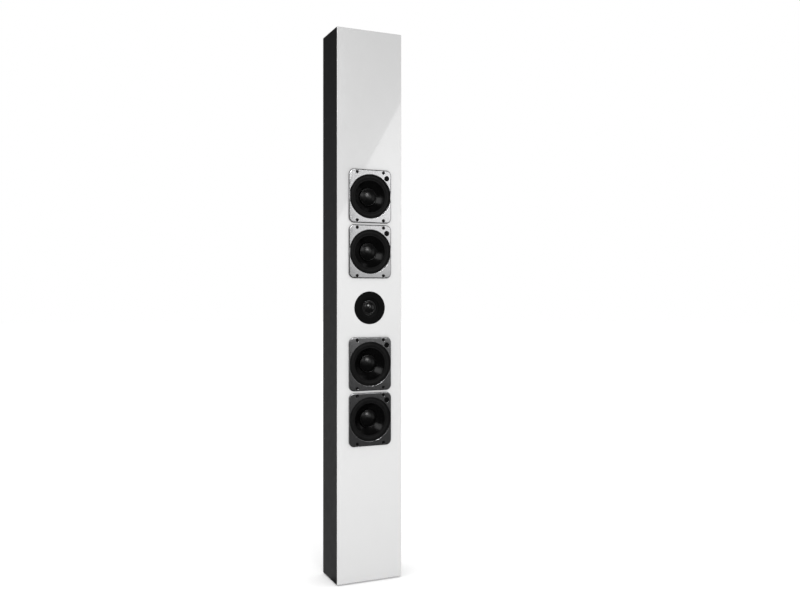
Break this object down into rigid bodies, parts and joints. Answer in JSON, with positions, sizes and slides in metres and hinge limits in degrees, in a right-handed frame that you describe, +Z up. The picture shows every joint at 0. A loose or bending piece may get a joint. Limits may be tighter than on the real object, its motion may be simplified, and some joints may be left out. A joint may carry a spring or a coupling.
{
  "type": "floorstanding loudspeaker",
  "caption": "Slim floorstanding loudspeaker with a column of bass-midrange drivers around a dome tweeter and screw terminals on the back.",
  "frame": {"origin": "middle of the object's box at the floor under the rubber feet", "axes": "+Z up along the cabinet, +Y from front to back, so the drivers look along -Y; +X to the right seen from the front"},
  "size_m": [0.157, 0.106, 1.253],
  "materials": {
    "fascia_gloss": "gloss",
    "cabinet_satin": "satin",
    "raw_board": "matte",
    "frame_silver": "satin",
    "surround_rubber": "satin",
    "cone_gloss": "gloss",
    "cap_gloss": "gloss",
    "coil_copper": "satin",
    "spider_cloth": "matte",
    "zinc_steel": "satin",
    "ferrite": "matte",
    "black_screw": "satin",
    "badge_black": "satin",
    "tweeter_black": "satin",
    "dome_silk": "satin",
    "cup_black": "satin",
    "post_gold": "polished",
    "post_red": "gloss",
    "post_black": "gloss",
    "board_green": "satin",
    "capacitor_film": "gloss",
    "resistor_ceramic": "matte",
    "wire_jacket": "satin",
    "wadding": "matte",
    "foot_rubber": "matte"
  },
  "bodies": {
    "cabinet": {"back_panel": "cabinet_satin", "board_fixings": "zinc_steel", "bottom_panel": "cabinet_satin", "crossover_board": "board_green", "crossover_capacitors": "capacitor_film", "crossover_coils": "coil_copper", "crossover_resistors": "resistor_ceramic", "damping_pads": "wadding", "frame_badges": "badge_black", "front_fascia": "fascia_gloss", "inner_baffle": "raw_board", "internal_wires": "wire_jacket", "left_side_panel": "cabinet_satin", "post_nuts": "post_gold", "post_studs": "post_gold", "right_side_panel": "cabinet_satin", "rubber_feet": "foot_rubber", "terminal_cup": "cup_black", "terminal_cup_screws": "black_screw", "top_panel": "cabinet_satin", "tweeter_faceplate": "tweeter_black", "tweeter_magnet": "ferrite", "tweeter_screws": "black_screw", "tweeter_steel": "zinc_steel", "tweeter_surround": "dome_silk", "window_braces": "raw_board", "woofer_1_frame": "frame_silver", "woofer_1_spider": "spider_cloth", "woofer_1_surround": "surround_rubber", "woofer_2_frame": "frame_silver", "woofer_2_spider": "spider_cloth", "woofer_2_surround": "surround_rubber", "woofer_3_frame": "frame_silver", "woofer_3_spider": "spider_cloth", "woofer_3_surround": "surround_rubber", "woofer_4_frame": "frame_silver", "woofer_4_spider": "spider_cloth", "woofer_4_surround": "surround_rubber", "woofer_magnets": "ferrite", "woofer_screws": "black_screw", "woofer_top_plates": "zinc_steel", "woofer_yokes": "zinc_steel"},
    "woofer_1_moving": {"woofer_1_cone": "cone_gloss", "woofer_1_dust_cap": "cap_gloss", "woofer_1_voice_coil": "coil_copper"},
    "woofer_2_moving": {"woofer_2_cone": "cone_gloss", "woofer_2_dust_cap": "cap_gloss", "woofer_2_voice_coil": "coil_copper"},
    "woofer_3_moving": {"woofer_3_cone": "cone_gloss", "woofer_3_dust_cap": "cap_gloss", "woofer_3_voice_coil": "coil_copper"},
    "woofer_4_moving": {"woofer_4_cone": "cone_gloss", "woofer_4_dust_cap": "cap_gloss", "woofer_4_voice_coil": "coil_copper"},
    "tweeter_moving": {"tweeter_dome": "dome_silk", "tweeter_coil": "coil_copper"},
    "red_washer": {"post_washer_red": "post_gold"},
    "red_cap": {"post_cap_red": "post_red"},
    "black_washer": {"post_washer_black": "post_gold"},
    "black_cap": {"post_cap_black": "post_black"}
  },
  "joints": [
    {"name": "woofer_1_stroke", "type": "slide", "parent": "cabinet", "child": "woofer_1_moving", "axis": [0, -1, 0], "range_m": [-0.004, 0.004], "stiffness_N_per_m": 1200, "deforming": ["woofer_1_surround", "woofer_1_spider"]},
    {"name": "woofer_2_stroke", "type": "slide", "parent": "cabinet", "child": "woofer_2_moving", "axis": [0, -1, 0], "range_m": [-0.004, 0.004], "stiffness_N_per_m": 1200, "deforming": ["woofer_2_surround", "woofer_2_spider"]},
    {"name": "woofer_3_stroke", "type": "slide", "parent": "cabinet", "child": "woofer_3_moving", "axis": [0, -1, 0], "range_m": [-0.004, 0.004], "stiffness_N_per_m": 1200, "deforming": ["woofer_3_surround", "woofer_3_spider"]},
    {"name": "woofer_4_stroke", "type": "slide", "parent": "cabinet", "child": "woofer_4_moving", "axis": [0, -1, 0], "range_m": [-0.004, 0.004], "stiffness_N_per_m": 1200, "deforming": ["woofer_4_surround", "woofer_4_spider"]},
    {"name": "tweeter_stroke", "type": "slide", "parent": "cabinet", "child": "tweeter_moving", "axis": [0, -1, 0], "range_m": [-0.0004, 0.0004], "stiffness_N_per_m": 1500, "deforming": ["tweeter_surround"]},
    {"name": "red_washer_slide", "type": "slide", "parent": "cabinet", "child": "red_washer", "axis": [0, 1, 0], "range_m": [0, 0.004]},
    {"name": "red_cap_turn", "type": "hinge", "parent": "red_washer", "child": "red_cap", "pos_m": [-0.0095, 0.036, 0.14], "axis": [0, 1, 0], "range_deg": [0, 1440]},
    {"name": "black_washer_slide", "type": "slide", "parent": "cabinet", "child": "black_washer", "axis": [0, 1, 0], "range_m": [0, 0.004]},
    {"name": "black_cap_turn", "type": "hinge", "parent": "black_washer", "child": "black_cap", "pos_m": [0.0095, 0.036, 0.14], "axis": [0, 1, 0], "range_deg": [0, 1440]}
  ],
  "couplings": [
    {"joint": "red_cap_turn", "follows": "red_washer_slide", "rad_per_m": 6283},
    {"joint": "black_cap_turn", "follows": "black_washer_slide", "rad_per_m": 6283}
  ]
}
